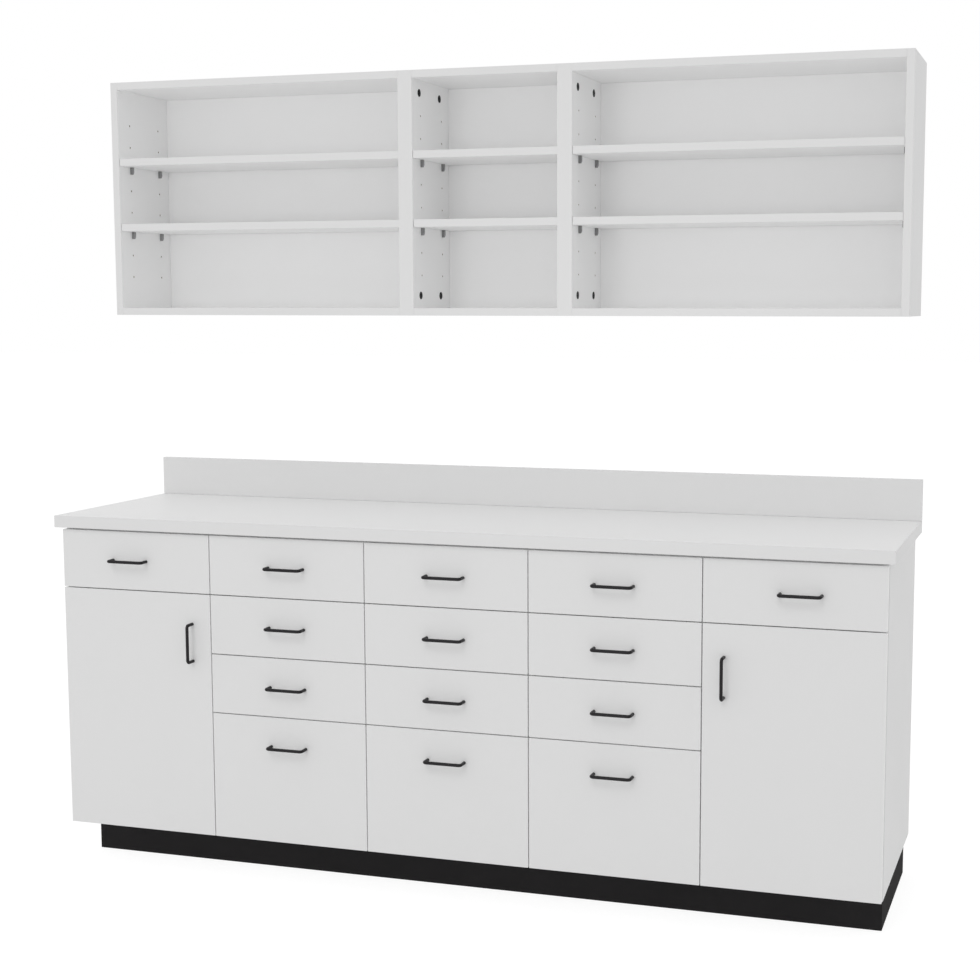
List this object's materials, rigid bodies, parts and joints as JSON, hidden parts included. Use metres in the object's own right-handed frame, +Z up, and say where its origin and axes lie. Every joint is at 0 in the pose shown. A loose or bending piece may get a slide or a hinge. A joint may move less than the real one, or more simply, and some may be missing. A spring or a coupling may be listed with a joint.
{
  "type": "pharmacy cabinet with wall shelves",
  "caption": "Pharmacy base cabinet with drawers and end cupboards under a worktop with upstand, and a matching open wall shelf unit above it.",
  "frame": {"origin": "on the floor, under the centre of the overall box", "axes": "+X along the run to the right as seen from the front, +Y from the fronts to the wall, +Z up"},
  "size_m": [2.166, 0.591, 2.063],
  "materials": {
    "case_laminate": "satin",
    "front_laminate": "satin",
    "worktop_laminate": "satin",
    "kick_black": "matte",
    "pull_black": "satin",
    "hinge_steel": "satin"
  },
  "bodies": {
    "cabinet": {"kick_base": "kick_black", "end_panel_left": "case_laminate", "end_panel_right": "case_laminate", "partition_1": "case_laminate", "partition_2": "case_laminate", "partition_3": "case_laminate", "partition_4": "case_laminate", "deck": "case_laminate", "case_back": "case_laminate", "front_rail": "case_laminate", "countertop": "worktop_laminate", "backsplash": "worktop_laminate", "cupboard_shelf_left": "case_laminate", "hinge_left_lower": "hinge_steel", "hinge_left_upper": "hinge_steel", "cupboard_shelf_right": "case_laminate", "hinge_right_lower": "hinge_steel", "hinge_right_upper": "hinge_steel", "wall_box_left": "case_laminate", "wall_shelf_left_lower": "case_laminate", "wall_shelf_left_upper": "case_laminate", "wall_box_centre": "case_laminate", "wall_shelf_centre_lower": "case_laminate", "wall_shelf_centre_upper": "case_laminate", "wall_box_right": "case_laminate", "wall_shelf_right_lower": "case_laminate", "wall_shelf_right_upper": "case_laminate"},
    "drawer_1_1": {"drawer_1_1": "front_laminate", "pull_1_1": "pull_black"},
    "drawer_2_1": {"drawer_2_1": "front_laminate", "pull_2_1": "pull_black"},
    "drawer_2_2": {"drawer_2_2": "front_laminate", "pull_2_2": "pull_black"},
    "drawer_2_3": {"drawer_2_3": "front_laminate", "pull_2_3": "pull_black"},
    "drawer_2_4": {"drawer_2_4": "front_laminate", "pull_2_4": "pull_black"},
    "drawer_3_1": {"drawer_3_1": "front_laminate", "pull_3_1": "pull_black"},
    "drawer_3_2": {"drawer_3_2": "front_laminate", "pull_3_2": "pull_black"},
    "drawer_3_3": {"drawer_3_3": "front_laminate", "pull_3_3": "pull_black"},
    "drawer_3_4": {"drawer_3_4": "front_laminate", "pull_3_4": "pull_black"},
    "drawer_4_1": {"drawer_4_1": "front_laminate", "pull_4_1": "pull_black"},
    "drawer_4_2": {"drawer_4_2": "front_laminate", "pull_4_2": "pull_black"},
    "drawer_4_3": {"drawer_4_3": "front_laminate", "pull_4_3": "pull_black"},
    "drawer_4_4": {"drawer_4_4": "front_laminate", "pull_4_4": "pull_black"},
    "drawer_5_1": {"drawer_5_1": "front_laminate", "pull_5_1": "pull_black"},
    "door_left": {"door_left": "front_laminate", "pull_door_left": "pull_black"},
    "door_right": {"door_right": "front_laminate", "pull_door_right": "pull_black"}
  },
  "joints": [
    {"name": "drawer_1_1_slide", "type": "slide", "parent": "cabinet", "child": "drawer_1_1", "axis": [0, -1, 0], "range_m": [0, 0.4]},
    {"name": "drawer_2_1_slide", "type": "slide", "parent": "cabinet", "child": "drawer_2_1", "axis": [0, -1, 0], "range_m": [0, 0.4]},
    {"name": "drawer_2_2_slide", "type": "slide", "parent": "cabinet", "child": "drawer_2_2", "axis": [0, -1, 0], "range_m": [0, 0.4]},
    {"name": "drawer_2_3_slide", "type": "slide", "parent": "cabinet", "child": "drawer_2_3", "axis": [0, -1, 0], "range_m": [0, 0.4]},
    {"name": "drawer_2_4_slide", "type": "slide", "parent": "cabinet", "child": "drawer_2_4", "axis": [0, -1, 0], "range_m": [0, 0.4]},
    {"name": "drawer_3_1_slide", "type": "slide", "parent": "cabinet", "child": "drawer_3_1", "axis": [0, -1, 0], "range_m": [0, 0.4]},
    {"name": "drawer_3_2_slide", "type": "slide", "parent": "cabinet", "child": "drawer_3_2", "axis": [0, -1, 0], "range_m": [0, 0.4]},
    {"name": "drawer_3_3_slide", "type": "slide", "parent": "cabinet", "child": "drawer_3_3", "axis": [0, -1, 0], "range_m": [0, 0.4]},
    {"name": "drawer_3_4_slide", "type": "slide", "parent": "cabinet", "child": "drawer_3_4", "axis": [0, -1, 0], "range_m": [0, 0.4]},
    {"name": "drawer_4_1_slide", "type": "slide", "parent": "cabinet", "child": "drawer_4_1", "axis": [0, -1, 0], "range_m": [0, 0.4]},
    {"name": "drawer_4_2_slide", "type": "slide", "parent": "cabinet", "child": "drawer_4_2", "axis": [0, -1, 0], "range_m": [0, 0.4]},
    {"name": "drawer_4_3_slide", "type": "slide", "parent": "cabinet", "child": "drawer_4_3", "axis": [0, -1, 0], "range_m": [0, 0.4]},
    {"name": "drawer_4_4_slide", "type": "slide", "parent": "cabinet", "child": "drawer_4_4", "axis": [0, -1, 0], "range_m": [0, 0.4]},
    {"name": "drawer_5_1_slide", "type": "slide", "parent": "cabinet", "child": "drawer_5_1", "axis": [0, -1, 0], "range_m": [0, 0.4]},
    {"name": "door_left_hinge", "type": "hinge", "parent": "cabinet", "child": "door_left", "pos_m": [-1.066, -0.2635, 0.4215], "axis": [0, 0, -1], "range_deg": [0, 110]},
    {"name": "door_right_hinge", "type": "hinge", "parent": "cabinet", "child": "door_right", "pos_m": [1.066, -0.2635, 0.4215], "axis": [0, 0, 1], "range_deg": [0, 110]}
  ]
}
